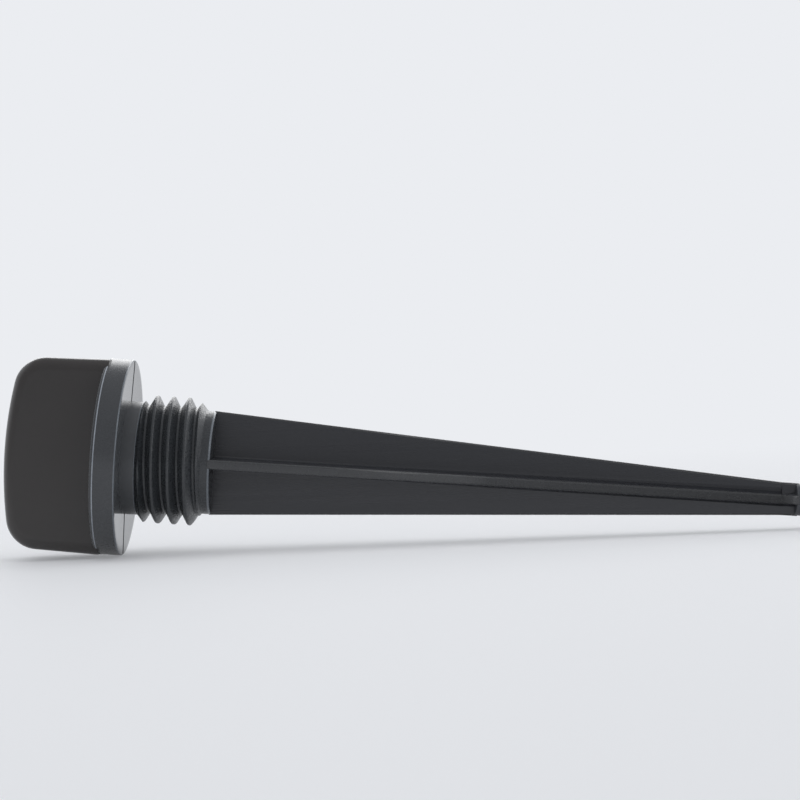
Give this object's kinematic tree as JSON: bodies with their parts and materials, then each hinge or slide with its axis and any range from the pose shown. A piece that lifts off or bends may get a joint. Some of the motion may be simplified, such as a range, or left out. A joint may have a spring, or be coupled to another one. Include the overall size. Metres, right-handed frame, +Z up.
{
  "type": "dipstick cap",
  "caption": "Screw-in oil filler cap with a dipstick: a grip bar on a round flange, a coarse thread and a tapering cross-ribbed stick that ends in a round tip.",
  "frame": {"origin": "on the floor under the middle of the part's box, with the cap lying on its flange rim and its tip", "axes": "+X along the cap from the grip to the tip, which leans down to the floor; +Z up; the grip bar and one rib stand in the XZ plane"},
  "size_m": [0.1454, 0.0308, 0.0315],
  "materials": {
    "moulded_plastic": "dark grey moulded plastic, semi-gloss on the grip and flange and satin on the thread and stick"
  },
  "bodies": {
    "root": {"dipstick_cap": "moulded_plastic"}
  },
  "joints": []
}
